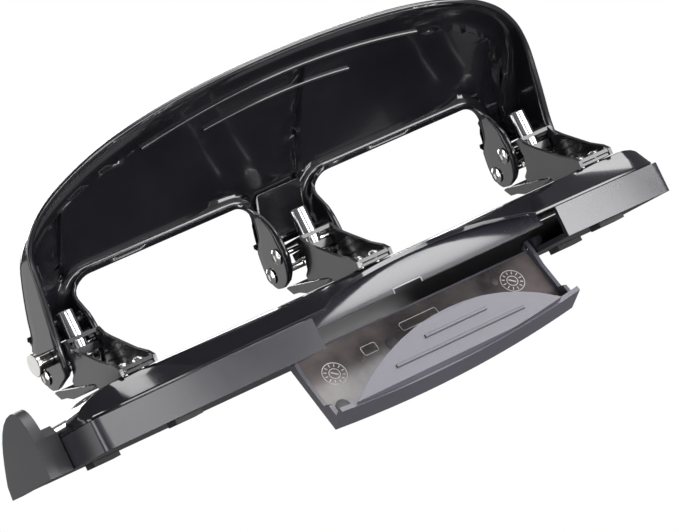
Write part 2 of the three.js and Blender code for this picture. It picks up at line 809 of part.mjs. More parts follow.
function hingePin(x0, x1) {
  return rodX(HINGE_PIN_RADIUS, x0, x1, TRAY_HINGE_Y, TRAY_HINGE_Z, 14);
}

const trayHinge = new THREE.Group();
trayHinge.position.set(0, TRAY_HINGE_Y, TRAY_HINGE_Z);
trayHinge.rotation.x = THREE.MathUtils.degToRad(TRAY_OPEN);
const tray = new THREE.Group();
tray.position.set(0, -TRAY_HINGE_Y, -TRAY_HINGE_Z);
trayHinge.add(tray);
punch.add(trayHinge);

addPiece("chip_tray", chipTray(), "grey_satin", tray);
addPiece("tray_panel", trayPanel(), "grey_satin", tray);
addPiece("tray_pin_left", hingePin(TRAY_LEFT - 2.4, trayLeft + 1.6), "bright_steel", tray);
addPiece("tray_pin_right", hingePin(trayRight - 1.6, TRAY_RIGHT + 2.4), "bright_steel", tray);

export default model;
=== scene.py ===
import math
import bmesh
import bpy
import numpy as np
from mathutils import Matrix, Vector


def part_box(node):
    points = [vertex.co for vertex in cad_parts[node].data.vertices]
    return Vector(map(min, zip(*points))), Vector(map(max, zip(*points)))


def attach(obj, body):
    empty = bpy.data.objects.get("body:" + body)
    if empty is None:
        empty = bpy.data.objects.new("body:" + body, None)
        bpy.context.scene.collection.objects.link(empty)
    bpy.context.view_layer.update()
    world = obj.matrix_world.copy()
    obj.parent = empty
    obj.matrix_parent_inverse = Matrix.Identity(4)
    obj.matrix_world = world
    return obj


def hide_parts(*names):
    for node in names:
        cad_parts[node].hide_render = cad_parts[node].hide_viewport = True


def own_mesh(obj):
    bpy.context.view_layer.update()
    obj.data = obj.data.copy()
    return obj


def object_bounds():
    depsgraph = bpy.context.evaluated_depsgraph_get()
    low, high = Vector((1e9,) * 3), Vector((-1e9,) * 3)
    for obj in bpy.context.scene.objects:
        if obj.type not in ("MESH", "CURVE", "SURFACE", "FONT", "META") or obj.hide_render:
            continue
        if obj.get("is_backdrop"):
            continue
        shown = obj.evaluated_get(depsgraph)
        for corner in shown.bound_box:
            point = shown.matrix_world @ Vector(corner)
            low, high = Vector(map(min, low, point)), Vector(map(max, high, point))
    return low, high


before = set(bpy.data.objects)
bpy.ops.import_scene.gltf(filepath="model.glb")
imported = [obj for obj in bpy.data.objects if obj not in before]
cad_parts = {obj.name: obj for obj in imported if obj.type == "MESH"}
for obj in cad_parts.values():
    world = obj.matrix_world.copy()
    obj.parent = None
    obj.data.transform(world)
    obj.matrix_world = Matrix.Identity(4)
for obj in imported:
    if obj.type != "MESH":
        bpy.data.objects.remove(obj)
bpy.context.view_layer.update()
scene = bpy.context.scene
MM = 0.001


# ---- Camera ----
# A long lens held a little below the base and turned on its axis, so that the
# punch runs up across the picture from left to right.
camera_place = Vector((-0.7567, -1.3846, -0.0359))
turn, dip, camera_roll = (math.radians(v) for v in (28.85, -2.39, 25.67))
forward = Vector((math.sin(turn) * math.cos(dip), math.cos(turn) * math.cos(dip), -math.sin(dip)))
level_right = Vector((math.cos(turn), -math.sin(turn), 0))
level_up = level_right.cross(forward)
camera_right = level_right * math.cos(camera_roll) - level_up * math.sin(camera_roll)
camera_up = level_right * math.sin(camera_roll) + level_up * math.cos(camera_roll)
lens = bpy.data.cameras.new("camera")
lens.lens = 218.17
lens.sensor_width = 36
lens.clip_end = 30
camera = bpy.data.objects.new("camera", lens)
scene.collection.objects.link(camera)
camera.matrix_world = Matrix((
    (camera_right.x, camera_up.x, -forward.x, camera_place.x),
    (camera_right.y, camera_up.y, -forward.y, camera_place.y),
    (camera_right.z, camera_up.z, -forward.z, camera_place.z),
    (0, 0, 0, 1),
))
scene.camera = camera


# ---- Handle ----
# One sheet of steel pressed into a deep curved tray with two hand windows and
# three pairs of ears, rolled along its near edge and enamelled gloss black.

def flowing(at, places, values):
    """A smooth curve through measured points, without overshoot at sharp changes."""
    places, values = np.array(places, float), np.array(values, float)
    step = np.diff(places)
    slope = np.diff(values) / step
    tangent = np.zeros(len(places))
    tangent[0], tangent[-1] = slope[0], slope[-1]
    for i in range(1, len(places) - 1):
        if slope[i - 1] * slope[i] > 0:
            tangent[i] = 2 * slope[i - 1] * slope[i] / (slope[i - 1] + slope[i])
    at = min(max(at, places[0]), places[-1])
    i = min(int(np.searchsorted(places, at, side="right")) - 1, len(step) - 1)
    t = (at - places[i]) / step[i]
    return float(
        (1 + 2 * t) * (1 - t) ** 2 * values[i]
        + t * (1 - t) ** 2 * step[i] * tangent[i]
        + t * t * (3 - 2 * t) * values[i + 1]
        + t * t * (t - 1) * step[i] * tangent[i + 1]
    )


def rim_line(z):
    return flowing(z, (29.8, 30.4, 31.2, 33, 47.7, 58.6, 69.4, 78.4, 86.8, 95.4, 102, 110.8),
                   (12.7, 9.5, 6, -2, -5.8, -9.5, -12.7, -15.2, -20.6, -29, -36, -43.6))


def ear_line(z):
    return flowing(z, (29.8, 30.4, 31.4, 36.1, 41.7, 49.4, 55.4, 60.8, 64.5),
                   (12.7, 9.5, 6, 0.7, -1.3, -0.3, 3.3, 6.4, 4.6))


def far_line(z):
    return flowing(z, (29.8, 30.4, 33, 37.2, 46, 53.5, 62, 71, 80.6, 90, 98.2, 104.6, 111.3),
                   (12.7, 16.7, 19.6, 21.2, 19.8, 18, 13, 6, -3, -13.5, -24, -32, -38.5))


EAR_STEPS = (29.8, 30, 30.4, 31.2, 32.2, 33.5, 36, 38.5, 41, 43.5, 46.5, 48.5, 51, 53.5)
WEB_LOW = 46.5
FOOT = 2.0
HANDLE_SHEET = 1.6
LEG_HALF_WIDTH, SHOULDER_HALF_WIDTH, SHOULDER_HEIGHT = 118, 118.2, 74
CROWN_HEIGHT, CROWN_HALF_WIDTH, CROWN_START = 109.8, 75, 98
WINDOW_INNER, WINDOW_OUTER, WINDOW_TOP, WINDOW_CORNER = 13.5, 98, 64.5, 9
WEB_CUTS, WEB_CUT_STEP = 44, 1.45


def outer_outline():
    """One leg, the shoulder and half the crown, as (x, z), then the same mirrored."""
    spread = (SHOULDER_HALF_WIDTH - LEG_HALF_WIDTH) / (SHOULDER_HEIGHT - WEB_LOW)
    points = [(-LEG_HALF_WIDTH, z) for z in EAR_STEPS[:10]]
    points += [(-LEG_HALF_WIDTH - spread * (z - WEB_LOW), z)
               for z in (WEB_LOW, 48.5, 51, 54, 58, 62, 66, 70)]
    for i in range(33):
        t = i / 32
        points.append((
            -SHOULDER_HALF_WIDTH * ((1 - t) ** 3 + 3 * t * (1 - t) ** 2)
            - CROWN_HALF_WIDTH * 3 * t * t * (1 - t),
            (1 - t) ** 3 * SHOULDER_HEIGHT + 3 * t * (1 - t) ** 2 * CROWN_START
            + (3 * t * t * (1 - t) + t ** 3) * CROWN_HEIGHT,
        ))
    return points + [(-x, z) for x, z in reversed(points[:-1])]


def window_outline(left, right):
    """A hand window with rounded upper corners, open at the bottom, as (x, z)."""
    corner, top = WINDOW_CORNER, WINDOW_TOP
    points = [(left, z) for z in EAR_STEPS]
    for i in range(1, 9):
        angle = math.pi - i * math.pi / 16
        points.append((left + corner + corner * math.cos(angle),
                       top - corner + corner * math.sin(angle)))
    width = right - left - 2 * corner
    points += [(left + corner + width * i / 14, top) for i in range(1, 14)]
    mirrored = [(left + right - x, z) for x, z in reversed(points[: len(EAR_STEPS) + 8])]
    return points + mirrored


def fold_radius(z):
    """The bend between wall and web opens from almost sharp at the ears to a broad roll."""
    t = min(max((z - WEB_LOW + 1) / 7, 0), 1)
    return 0.5 + 6.3 * t * t * (3 - 2 * t)


def flange(mesh, outline, near_line, inward):
    """The wall that stands along an outline and folds over into the web; returns its inner edge."""
    rows = []
    for i, (x, z) in enumerate(outline):
        before, after = outline[max(i - 1, 0)], outline[min(i + 1, len(outline) - 1)]
        run = Vector((after[0] - before[0], after[1] - before[1])).normalized()
        normal = Vector((run.y, -run.x)) * inward
        radius = fold_radius(z)
        near = near_line(z)
        far = max(far_line(z) - radius, near + 0.05)
        row = [(x, near + (far - near) * k / 5, z) for k in range(5)]
        for k in range(7):
            angle = k * math.pi / 12
            fx = x + normal.x * radius * (1 - math.cos(angle))
            fz = z + normal.y * radius * (1 - math.cos(angle))
            row.append((fx, max(far_line(fz) - radius * (1 - math.sin(angle)), near + 0.05), fz))
        rows.append([mesh.verts.new((px, py, pz)) for px, py, pz in row])
    for first, second in zip(rows, rows[1:]):
        for k in range(len(first) - 1):
            mesh.faces.new((first[k], first[k + 1], second[k + 1], second[k]))
    return [row[-1].co.copy() for row in rows]


handle_mesh = bmesh.new()
outer_edge = flange(handle_mesh, outer_outline(), rim_line, 1)
left_edge = flange(handle_mesh, window_outline(-WINDOW_OUTER, -WINDOW_INNER), ear_line, -1)
right_edge = flange(handle_mesh, window_outline(WINDOW_INNER, WINDOW_OUTER), ear_line, -1)
border = [p for p in outer_edge if p.z >= WEB_LOW - 0.01]
border += [p for p in reversed(right_edge) if p.z >= WEB_LOW - 0.01]
border += [p for p in reversed(left_edge) if p.z >= WEB_LOW - 0.01]

# The web fills the space between the folds and is cut level so that it can bend
# to the far line. The folded wall is not cut at the same heights, which leaves
# vertices on the web's border that the wall does not share.
web = bmesh.new()
web_face = web.faces.new([web.verts.new((p.x, 0, p.z)) for p in border])
bmesh.ops.triangulate(web, faces=[web_face])
for i in range(1, WEB_CUTS):
    bmesh.ops.bisect_plane(web, geom=web.verts[:] + web.edges[:] + web.faces[:], dist=1e-5,
                           plane_co=(0, 0, WEB_LOW + i * WEB_CUT_STEP), plane_no=(0, 0, 1))
for vert in web.verts:
    vert.co.y = far_line(vert.co.z)
web_data = bpy.data.meshes.new("web")
web.to_mesh(web_data)
handle_mesh.from_mesh(web_data)
bmesh.ops.remove_doubles(handle_mesh, verts=handle_mesh.verts, dist=0.02)
bmesh.ops.recalc_face_normals(handle_mesh, faces=handle_mesh.faces)
mid_web = Vector((0, far_line(90), 90))
crown = max(handle_mesh.faces,
            key=lambda face: -sum(abs(v) for v in face.calc_center_median() - mid_web))
if crown.normal.y < 0:
    bmesh.ops.reverse_faces(handle_mesh, faces=handle_mesh.faces)
for vert in handle_mesh.verts:
    vert.co = Vector((vert.co.x, vert.co.y, vert.co.z + FOOT)) * MM
for face in handle_mesh.faces:
    face.smooth = True
handle_data = bpy.data.meshes.new("handle_sheet")
handle_mesh.to_mesh(handle_data)
handle_sheet = bpy.data.objects.new("handle_sheet", handle_data)
scene.collection.objects.link(handle_sheet)
thickness = handle_sheet.modifiers.new("sheet thickness", "SOLIDIFY")
thickness.thickness = HANDLE_SHEET * MM
thickness.offset = -1
thickness.use_even_offset = False
handle_data.set_sharp_from_angle(angle=math.radians(40))


def skin_group():
    """Fine surface variation shared by every finish: mottling and small grain."""
    group = bpy.data.node_groups.new("surface skin", "ShaderNodeTree")
    face = group.interface
    for label, kind, value in (
        ("Color", "NodeSocketColor", (0.1, 0.1, 0.1, 1)),
        ("Second Color", "NodeSocketColor", (0.1, 0.1, 0.1, 1)),
        ("Grain Scale", "NodeSocketFloat", 900),
        ("Mottle Scale", "NodeSocketFloat", 30),
        ("Smooth", "NodeSocketFloat", 0.2),
        ("Rough", "NodeSocketFloat", 0.4),
        ("Stretch", "NodeSocketVector", (1, 1, 1)),
    ):
        face.new_socket(label, in_out="INPUT", socket_type=kind).default_value = value
    for label, kind in (("Color", "NodeSocketColor"), ("Roughness", "NodeSocketFloat"),
                        ("Height", "NodeSocketFloat")):
        face.new_socket(label, in_out="OUTPUT", socket_type=kind)
    nodes, links = group.nodes, group.links
    inside, outside = nodes.new("NodeGroupInput"), nodes.new("NodeGroupOutput")
    place = nodes.new("ShaderNodeTexCoord")
    scaled = nodes.new("ShaderNodeVectorMath")
    scaled.operation = "MULTIPLY"
    links.new(place.outputs["Object"], scaled.inputs[0])
    links.new(inside.outputs["Stretch"], scaled.inputs[1])
    grain, mottle = nodes.new("ShaderNodeTexNoise"), nodes.new("ShaderNodeTexNoise")
    grain.inputs["Detail"].default_value = 3
    mottle.inputs["Detail"].default_value = 5
    mottle.inputs["Roughness"].default_value = 0.62
    for noise, scale in ((grain, "Grain Scale"), (mottle, "Mottle Scale")):
        links.new(scaled.outputs[0], noise.inputs["Vector"])
        links.new(inside.outputs[scale], noise.inputs["Scale"])
    spread = nodes.new("ShaderNodeMapRange")
    spread.inputs["From Min"].default_value = 0.35
    spread.inputs["From Max"].default_value = 0.68
    links.new(mottle.outputs["Fac"], spread.inputs["Value"])
    colour = nodes.new("ShaderNodeMix")
    colour.data_type = "RGBA"
    links.new(spread.outputs["Result"], colour.inputs[0])
    links.new(inside.outputs["Color"], colour.inputs[6])
    links.new(inside.outputs["Second Color"], colour.inputs[7])
    both = nodes.new("ShaderNodeMath")
    both.operation = "MULTIPLY_ADD"
    links.new(grain.outputs["Fac"], both.inputs[0])
    both.inputs[1].default_value = 0.5
    half = nodes.new("ShaderNodeMath")
    half.operation = "MULTIPLY"
    half.inputs[1].default_value = 0.5
    links.new(spread.outputs["Result"], half.inputs[0])
    links.new(half.outputs[0], both.inputs[2])
    rough = nodes.new("ShaderNodeMapRange")
    links.new(both.outputs[0], rough.inputs["Value"])
    links.new(inside.outputs["Smooth"], rough.inputs["To Min"])
    links.new(inside.outputs["Rough"], rough.inputs["To Max"])
    links.new(colour.outputs[2], outside.inputs["Color"])
    links.new(rough.outputs["Result"], outside.inputs["Roughness"])
    links.new(grain.outputs["Fac"], outside.inputs["Height"])
    return group


surface_skin = skin_group()


def finish(name, colour, second, smooth, rough, grain=900, mottle=30, depth=0.02,
           stretch=(1, 1, 1), metallic=0.0, coat=0.0, coat_roughness=0.05, specular=0.5):
    """A material that wanders between two colours and two roughnesses; depth is in millimetres."""
    material = bpy.data.materials.new(name)
    material.use_nodes = True
    nodes, links = material.node_tree.nodes, material.node_tree.links
    shader = nodes["Principled BSDF"]
    skin = nodes.new("ShaderNodeGroup")
    skin.node_tree = surface_skin
    skin.inputs["Color"].default_value = (*colour, 1)
    skin.inputs["Second Color"].default_value = (*second, 1)
    skin.inputs["Grain Scale"].default_value = grain
    skin.inputs["Mottle Scale"].default_value = mottle
    skin.inputs["Smooth"].default_value = smooth
    skin.inputs["Rough"].default_value = rough
    skin.inputs["Stretch"].default_value = stretch
    links.new(skin.outputs["Color"], shader.inputs["Base Color"])
    links.new(skin.outputs["Roughness"], shader.inputs["Roughness"])
    bump = nodes.new("ShaderNodeBump")
    bump.inputs["Strength"].default_value = 1
    bump.inputs["Distance"].default_value = depth * MM
    links.new(skin.outputs["Height"], bump.inputs["Height"])
    links.new(bump.outputs["Normal"], shader.inputs["Normal"])
    shader.inputs["Metallic"].default_value = metallic
    shader.inputs["Coat Weight"].default_value = coat
    shader.inputs["Coat Roughness"].default_value = coat_roughness
    shader.inputs["Specular IOR Level"].default_value = specular
    return material


black_enamel = finish("black_enamel", (0.006, 0.006, 0.008), (0.011, 0.011, 0.014), 0.12, 0.24,
                      grain=500, mottle=18, depth=0.006, coat=0.5)
handle_data.materials.append(black_enamel)
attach(handle_sheet, "handle")
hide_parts("handle_shell")


def rolled(name, points, radius, material, body, cyclic=False):
    """A round bead or raised line swept along points given in millimetres."""
    curve = bpy.data.curves.new(name, "CURVE")
    curve.dimensions = "3D"
    curve.bevel_depth = radius * MM
    curve.bevel_resolution = 3
    curve.use_fill_caps = True
    line = curve.splines.new("POLY")
    line.points.add(len(points) - 1)
    line.use_cyclic_u = cyclic
    for point, (x, y, z) in zip(line.points, points):
        point.co = (x * MM, y * MM, z * MM, 1)
    line.use_smooth = True
    curve.materials.append(material)
    piece = bpy.data.objects.new(name, curve)
    scene.collection.objects.link(piece)
    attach(piece, body)
    return piece


# the rolled rim, from just above the ears and round the crown
BEAD_START, BEAD_RADIUS, BEAD_INSET, BEAD_BACK = 34, 1.1, 0.5, 0.9
bead = []
edge = outer_outline()
for i, (x, z) in enumerate(edge):
    before, after = edge[max(i - 1, 0)], edge[min(i + 1, len(edge) - 1)]
    run = Vector((after[0] - before[0], after[1] - before[1])).normalized()
    if z > BEAD_START:
        bead.append((x + run.y * BEAD_INSET, rim_line(z) + BEAD_BACK, z - run.x * BEAD_INSET + FOOT))
rolled("handle_rim_bead", bead, BEAD_RADIUS, black_enamel, "handle")

# two long swages pressed into the web to stiffen it, each drawn through three points
SWAGE_RADIUS, SWAGE_PROUD, SWAGE_DROP = 0.9, 1.5, 1.3
for name, ends in (("handle_swage_long", ((-62.4, 98.3), (0.8, 103.6), (66.9, 98.6))),
                   ("handle_swage_short", ((-33.9, 96), (0.5, 97.7), (34.2, 96.1)))):
    (x0, z0), (x1, z1), (x2, z2) = ends
    line = []
    for i in range(25):
        t = i / 24
        x = (1 - t) ** 2 * x0 + 2 * t * (1 - t) * x1 + t * t * x2
        z = (1 - t) ** 2 * z0 + 2 * t * (1 - t) * (2 * z1 - (z0 + z2) / 2) + t * t * z2
        line.append((x, far_line(z) - SWAGE_PROUD, z - SWAGE_DROP + FOOT))
    rolled(name, line, SWAGE_RADIUS, black_enamel, "handle")


# ---- Base housing, deck and paper stop ----
# Three mouldings: a satin charcoal box with a bowed front, a gloss black deck
# over it, and a satin stop plate fixed at the left end.

SHARP_ANGLE = math.radians(38)


def smoothing_group():
    """Smooth shading across every edge that is not sharp."""
    group = bpy.data.node_groups.new("soft shading", "GeometryNodeTree")
    group.interface.new_socket("Geometry", in_out="INPUT", socket_type="NodeSocketGeometry")
    group.interface.new_socket("Geometry", in_out="OUTPUT", socket_type="NodeSocketGeometry")
    nodes, links = group.nodes, group.links
    inside, outside = nodes.new("NodeGroupInput"), nodes.new("NodeGroupOutput")
    faces, edges = nodes.new("GeometryNodeSetShadeSmooth"), nodes.new("GeometryNodeSetShadeSmooth")
    faces.domain, edges.domain = "FACE", "EDGE"
    angle, low = nodes.new("GeometryNodeInputMeshEdgeAngle"), nodes.new("FunctionNodeCompare")
    low.data_type, low.operation = "FLOAT", "LESS_EQUAL"
    low.inputs[1].default_value = SHARP_ANGLE
    links.new(angle.outputs["Unsigned Angle"], low.inputs[0])
    links.new(inside.outputs[0], faces.inputs["Geometry"])
    links.new(faces.outputs[0], edges.inputs["Geometry"])
    links.new(low.outputs[0], edges.inputs["Shade Smooth"])
    links.new(edges.outputs[0], outside.inputs[0])
    return group


soft_shading = smoothing_group()


def dress(node, material, edge=0.2):
    """Gives a CAD piece its finish and the small broken edge that tools leave on it."""
    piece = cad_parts[node]
    piece.data.materials.clear()
    piece.data.materials.append(material)
    piece.modifiers.new("joined", "WELD").merge_threshold = 2e-6
    if edge:
        broken = piece.modifiers.new("broken edge", "BEVEL")
        broken.width = edge * MM
        broken.segments = 2
        broken.limit_method = "ANGLE"
        broken.angle_limit = SHARP_ANGLE
        broken.miter_outer = "MITER_ARC"
    piece.modifiers.new("soft shading", "NODES").node_group = soft_shading
    weighted = piece.modifiers.new("flat faces", "WEIGHTED_NORMAL")
    weighted.keep_sharp = True
    weighted.weight = 80


charcoal = finish("charcoal_moulding", (0.022, 0.021, 0.027), (0.03, 0.028, 0.036), 0.2, 0.3,
                  grain=1800, mottle=14, depth=0.008, specular=0.7)
gloss_black = finish("gloss_black_moulding", (0.006, 0.006, 0.008), (0.01, 0.01, 0.013), 0.08, 0.17,
                     grain=420, mottle=12, depth=0.004, coat=0.4)
recess_gloss = finish("recess_moulding", (0.02, 0.02, 0.026), (0.03, 0.03, 0.038), 0.2, 0.3,
                      grain=1800, mottle=20, depth=0.006, specular=0.8)
satin_black = finish("satin_black_moulding", (0.016, 0.016, 0.019), (0.026, 0.026, 0.03), 0.3, 0.45,
                     grain=1400, mottle=20, depth=0.02)
dress("base_housing", charcoal, 0.25)
dress("deck_shell", gloss_black, 0.25)
dress("recess_panel", recess_gloss, 0.15)
dress("paper_stop", satin_black, 0.5)

# the snap catch moulded at the foot of the recess wall, with a light grey line round its outline that
# is a painted highlight
catch_highlight_colour = finish("painted_catch_highlight", (0.3, 0.3, 0.34), (0.22, 0.22, 0.25), 0.25, 0.4,
                    grain=2500, mottle=200, depth=0.01)
recess_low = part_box("recess_panel")[0] / MM
catch = [(-1.5, 0), (-1.5, 1.5), (-1.2, 1.8), (11.2, 1.8), (11.5, 1.5), (11.5, 0)]
rolled("tray_catch_highlight_line", [(x, recess_low.y + 0.1, recess_low.z + z) for x, z in catch],
       0.28, catch_highlight_colour, "base")

# rubber pads pressed into sockets under the base
rubber = finish("foot_rubber", (0.02, 0.02, 0.02), (0.035, 0.034, 0.033), 0.7, 0.9,
                grain=2500, mottle=60, depth=0.05)
for place in ("front_left", "front_right", "back_left", "back_right", "middle"):
    dress("foot_" + place, rubber, 0.4)


# ---- Punch heads ----
# Folded steel frames, enamelled black and held down by two rivets each, with
# ground punches, hard die rings and a wire spring round each punch.
frame_enamel = finish("frame_enamel", (0.008, 0.008, 0.01), (0.014, 0.014, 0.017), 0.16, 0.32,
                      grain=900, mottle=30, depth=0.01, coat=0.3)
plated = finish("plated_steel", (0.82, 0.8, 0.77), (0.74, 0.73, 0.71), 0.12, 0.24,
                grain=1500, mottle=90, depth=0.003, metallic=1)
# near-white colour for the line along the middle bracket's edge: a painted highlight
bracket_highlight_colour = finish("painted_bracket_highlight", (0.9, 0.89, 0.88), (0.8, 0.79, 0.78), 0.3, 0.45,
                  grain=2500, mottle=200, depth=0.006, metallic=0.15)
ground = finish("ground_steel", (0.66, 0.66, 0.67), (0.6, 0.6, 0.61), 0.14, 0.22,
                grain=900, mottle=60, depth=0.0004, stretch=(1, 1, 0.2), metallic=1)
wire = finish("spring_wire", (0.6, 0.59, 0.57), (0.42, 0.41, 0.4), 0.2, 0.4,
              grain=3000, mottle=300, depth=0.01, metallic=1)
dress("die_bar", plated, 0.2)
heads = ("left", "middle", "right")
for place in heads:
    dress("head_frame_" + place, frame_enamel, 0.34)
    dress("throat_guide_" + place, frame_enamel, 0.25)
    dress("die_ring_" + place, ground, 0.12)
    dress("foot_rivet_" + place + "_a", plated, 0)
    dress("foot_rivet_" + place + "_b", plated, 0)
    dress("punch_pin_" + place, ground, 0.15)
    dress("punch_saddle_" + place, frame_enamel, 0.3)
    dress("pivot_pin_" + place, plated, 0)
    dress("drive_pin_" + place, plated, 0)
dress("pivot_spacer_left", plated, 0.15)
dress("pivot_spacer_right", plated, 0.15)
dress("middle_bracket", frame_enamel, 0.3)

# Each spring sits between the throat guide and the punch's saddle. Its foot stays on the base.
PUNCH_PITCH = 108
SPRING_RADIUS, SPRING_TURNS, CLOSED_SHARE = 4.65, 4, 0.36
WIRE_RADIUS, SPRING_SEAT, FLAT_END = 0.38, 0.4, 0.08
for place, x in zip(heads, (-PUNCH_PITCH, 0, PUNCH_PITCH)):
    low, high = (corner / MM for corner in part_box("return_spring_" + place))
    coil, sides, steps = bmesh.new(), 8, 120
    rings = []
    for i in range(steps + 1):
        t = i / steps
        angle = 2 * math.pi * SPRING_TURNS * t
        rise = min(max((t - FLAT_END) / (1 - 2 * FLAT_END), 0), 1)
        lift = low.z + SPRING_SEAT + (high.z - low.z - 2 * SPRING_SEAT) * rise
        out = Vector((math.cos(angle), math.sin(angle), 0))
        centre = Vector((x, 0, lift)) + out * SPRING_RADIUS
        ring = []
        for k in range(sides):
            round_wire = 2 * math.pi * k / sides
            offset = out * (WIRE_RADIUS * math.cos(round_wire))
            offset += Vector((0, 0, WIRE_RADIUS * math.sin(round_wire)))
            ring.append(coil.verts.new((centre + offset) * MM))
        rings.append(ring)
    for first, second in zip(rings, rings[1:]):
        for k in range(sides):
            after = (k + 1) % sides
            coil.faces.new((first[k], first[after], second[after], second[k]))
    coil.faces.new(rings[0])
    coil.faces.new(rings[-1])
    bmesh.ops.recalc_face_normals(coil, faces=coil.faces)
    for face in coil.faces:
        face.smooth = True
    coil_data = bpy.data.meshes.new("spring_coil_" + place)
    coil.to_mesh(coil_data)
    coil_data.materials.append(wire)
    spring = bpy.data.objects.new("spring_coil_" + place, coil_data)
    scene.collection.objects.link(spring)
    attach(spring, "base")
    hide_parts("return_spring_" + place)
    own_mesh(spring)

# the bracket in the handle's middle leg, with a pale line along its edge that is a painted highlight
bracket_low, bracket_high = (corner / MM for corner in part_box("middle_bracket"))
arch = []
for x, z in ((-1, 0), (-1, 0.25), (-1, 0.5), (-1, 0.75), (-0.99, 0.93), (-0.95, 0.985), (-0.88, 1)):
    arch.append((bracket_high.x * x, bracket_low.z + (bracket_high.z - bracket_low.z) * z - FOOT))
arch += [(-x, z) for x, z in reversed(arch)]
rolled("bracket_highlight_line", [(x, far_line(z) - 3.5, z - 0.3 + FOOT) for x, z in arch], 0.5, bracket_highlight_colour,
       "handle")


def turned(name, profile, place, axis, material, body, sides=32):
    """A turned piece from (radius, distance) steps in millimetres along an axis."""
    mesh = bmesh.new()
    direction = Vector(axis).normalized()
    across = direction.orthogonal().normalized()
    beside = direction.cross(across)
    rings = []
    for radius, distance in profile:
        ring = []
        for k in range(sides):
            angle = 2 * math.pi * k / sides
            offset = across * (radius * math.cos(angle)) + beside * (radius * math.sin(angle))
            ring.append(mesh.verts.new((Vector(place) + direction * distance + offset) * MM))
        rings.append(ring)
    for first, second in zip(rings, rings[1:]):
        for k in range(sides):
            mesh.faces.new((first[k], first[(k + 1) % sides], second[(k + 1) % sides], second[k]))
    mesh.faces.new(list(reversed(rings[0])))
    mesh.faces.new(rings[-1])
    bmesh.ops.recalc_face_normals(mesh, faces=mesh.faces)
    for face in mesh.faces:
        face.smooth = True
    data = bpy.data.meshes.new(name)
    mesh.to_mesh(data)
    data.set_sharp_from_angle(angle=math.radians(35))
    data.materials.append(material)
    piece = bpy.data.objects.new(name, data)
    scene.collection.objects.link(piece)
    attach(piece, body)
    return piece


# the low domed ends of a guide pin, on both sides of each frame
GUIDE_PIN_Y, GUIDE_PIN_Z = -1.6, 36.6
for place in heads:
    low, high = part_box("head_frame_" + place)
    for side, x, way in (("left", low.x, -1), ("right", high.x, 1)):
        turned("guide_pin_" + place + "_" + side,
               ((1.25, 0.02), (1.25, 0.12), (1.1, 0.22), (0.7, 0.28)),
               (x / MM, GUIDE_PIN_Y, GUIDE_PIN_Z), (way, 0, 0), plated, "base", 20)


# ---- Chip tray ----
# A charcoal drop-down tray with a half-moon front and a glossy floor that
# carries plain date wheels and ejector marks.
TRAY_OPEN = math.radians(66)
HINGE_Y, HINGE_Z = -21.0, 5.0
tray_turn = (Matrix.Translation((0, HINGE_Y, HINGE_Z)) @ Matrix.Rotation(TRAY_OPEN, 4, "X")
             @ Matrix.Translation((0, -HINGE_Y, -HINGE_Z)))
tray_up = (tray_turn.to_3x3() @ Vector((0, 0, 1))).normalized()


def on_tray(x, y, z):
    """A place drawn with the tray shut, carried to where the tray hangs."""
    return tuple(tray_turn @ Vector((x, y, z)))


tray_plastic = finish("tray_moulding", (0.07, 0.067, 0.085), (0.09, 0.086, 0.106), 0.34, 0.46,
                      grain=1800, mottle=16, depth=0.02)
tray_floor_gloss = finish("tray_floor_moulding", (0.13, 0.11, 0.108), (0.02, 0.018, 0.02), 0.16, 0.34,
                          grain=240, mottle=26, depth=0.02)
dress("chip_tray", tray_plastic, 0.2)
dress("tray_panel", tray_plastic, 0.3)
dress("tray_pin_left", plated, 0.15)
dress("tray_pin_right", plated, 0.15)

# glossy inner face of the floor, a thin skin on the moulding with a bowed front
FLOOR_TOP, FLOOR_BACK = 3.8, -21.6
FLOOR_LEFT, FLOOR_WIDTH = -41.2, 113.0
FLOOR_FRONT, FLOOR_INSET, FLOOR_BOW = -56, 2.3, 980
SKIN_UNDER, SKIN_OVER = 0.02, 0.14
FLOOR_COLUMNS, FLOOR_ROWS = 40, 10
floor_mesh = bmesh.new()
columns = []
for i in range(FLOOR_COLUMNS + 1):
    x = FLOOR_LEFT + FLOOR_WIDTH * i / FLOOR_COLUMNS
    front = FLOOR_FRONT + x * x / FLOOR_BOW + FLOOR_INSET
    column = []
    for lift in (SKIN_UNDER, SKIN_OVER):
        row = []
        for k in range(FLOOR_ROWS + 1):
            y = front + (FLOOR_BACK - front) * k / FLOOR_ROWS
            row.append(floor_mesh.verts.new(Vector(on_tray(x, y, FLOOR_TOP + lift)) * MM))
        column.append(row)
    columns.append(column)
for first, second in zip(columns, columns[1:]):
    for k in range(FLOOR_ROWS):
        floor_mesh.faces.new((first[1][k], second[1][k], second[1][k + 1], first[1][k + 1]))
        floor_mesh.faces.new((first[0][k], first[0][k + 1], second[0][k + 1], second[0][k]))
    for k in (0, FLOOR_ROWS):
        floor_mesh.faces.new((first[0][k], second[0][k], second[1][k], first[1][k]))
for column in (columns[0], columns[-1]):
    for k in range(FLOOR_ROWS):
        floor_mesh.faces.new((column[0][k], column[0][k + 1], column[1][k + 1], column[1][k]))
bmesh.ops.recalc_face_normals(floor_mesh, faces=floor_mesh.faces)
floor_data = bpy.data.meshes.new("tray_floor_face")
floor_mesh.to_mesh(floor_data)
floor_data.materials.append(tray_floor_gloss)
tray_floor = bpy.data.objects.new("tray_floor_face", floor_data)
scene.collection.objects.link(tray_floor)
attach(tray_floor, "chip_tray_body")

